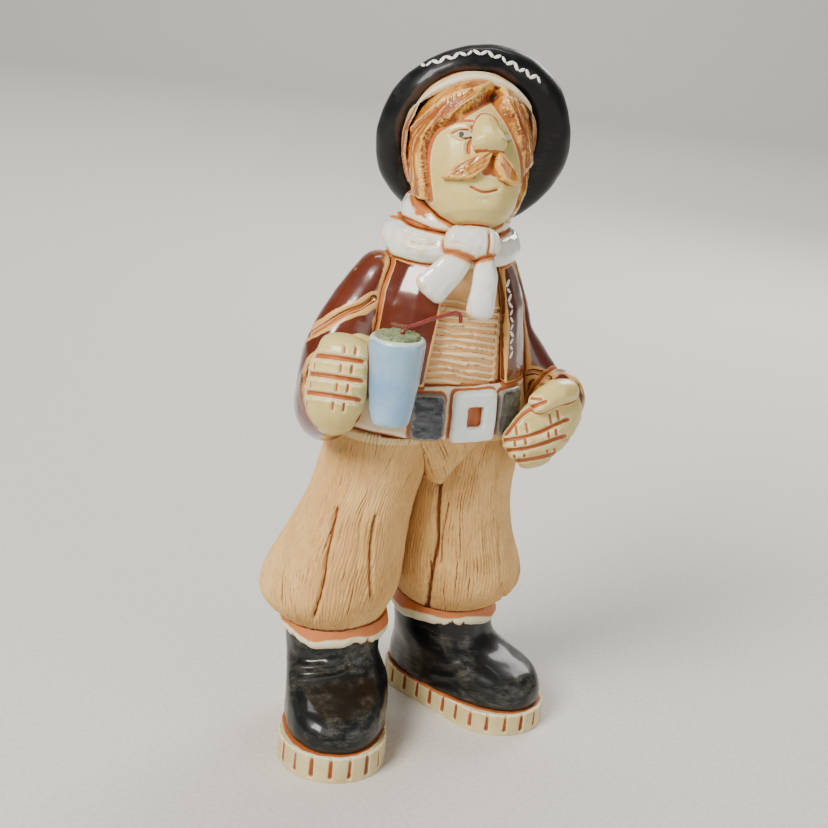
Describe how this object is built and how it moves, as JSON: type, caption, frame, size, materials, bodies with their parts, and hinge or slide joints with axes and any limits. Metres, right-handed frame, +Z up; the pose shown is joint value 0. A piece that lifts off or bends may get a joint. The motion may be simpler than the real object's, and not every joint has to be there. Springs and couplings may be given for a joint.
{
  "type": "souvenir figurine",
  "caption": "Hand-modelled glazed clay figurine of a moustached horseman in beret, neckerchief, jacket and baggy trousers, holding a drinking gourd with a straw.",
  "frame": {"origin": "on the ground under the middle of the figure's bounding box", "axes": "+Z up, -Y the way the figure faces, +X his left-hand side"},
  "size_m": [0.0938, 0.0748, 0.2004],
  "materials": {
    "sole_clay": "unglazed cream clay, satin, iron wash in the cuts",
    "boot_glaze": "gloss black glaze, brushed grey",
    "cuff_clay": "cream slip over iron wash, satin",
    "trouser_clay": "unglazed combed tan clay, matt",
    "belt_glaze": "cream glaze thin on the edges",
    "buckle_glaze": "gloss white glaze",
    "plate_glaze": "gloss dark slate glaze",
    "shirt_clay": "unglazed peach clay, satin",
    "jacket_glaze": "gloss maroon glaze",
    "skin_clay": "cream clay, satin, iron wash in the cuts",
    "gourd_glaze": "gloss pale blue glaze",
    "leaf_fill": "rough buff clay",
    "straw_wire": "dark red lacquer",
    "scarf_glaze": "gloss white glaze thin on the edges",
    "hair_glaze": "honey glaze over carved strands",
    "eye_glaze": "gloss pale glaze with a dark pupil",
    "band_clay": "cream slip over iron wash, satin",
    "beret_glaze": "gloss black glaze, brushed grey"
  },
  "bodies": {
    "root": {"right_sole": "sole_clay", "left_sole": "sole_clay", "right_boot": "boot_glaze", "left_boot": "boot_glaze", "right_boot_cuff": "cuff_clay", "left_boot_cuff": "cuff_clay", "right_trouser_leg": "trouser_clay", "left_trouser_leg": "trouser_clay", "trouser_front_panel": "trouser_clay", "trouser_back_panel": "trouser_clay", "belt": "belt_glaze", "belt_buckle": "buckle_glaze", "right_belt_plate": "plate_glaze", "left_belt_plate": "plate_glaze", "shirt_body": "shirt_clay", "jacket_right_front": "jacket_glaze", "jacket_left_front": "jacket_glaze", "jacket_back": "jacket_glaze", "right_upper_sleeve": "jacket_glaze", "left_upper_sleeve": "jacket_glaze", "right_forearm_sleeve": "jacket_glaze", "left_forearm_sleeve": "jacket_glaze", "right_hand": "skin_clay", "right_thumb": "skin_clay", "left_hand": "skin_clay", "left_thumb": "skin_clay", "gourd": "gourd_glaze", "gourd_leaves": "leaf_fill", "drinking_straw": "straw_wire", "scarf_upper_roll": "scarf_glaze", "scarf_lower_roll": "scarf_glaze", "scarf_knot": "scarf_glaze", "scarf_right_tail": "scarf_glaze", "scarf_left_tail": "scarf_glaze", "neck": "skin_clay", "head": "skin_clay", "nose": "skin_clay", "right_moustache": "hair_glaze", "left_moustache": "hair_glaze", "right_eye": "eye_glaze", "left_eye": "eye_glaze", "right_hair": "hair_glaze", "left_hair": "hair_glaze", "beret_band": "band_clay", "beret": "beret_glaze"}
  },
  "joints": []
}
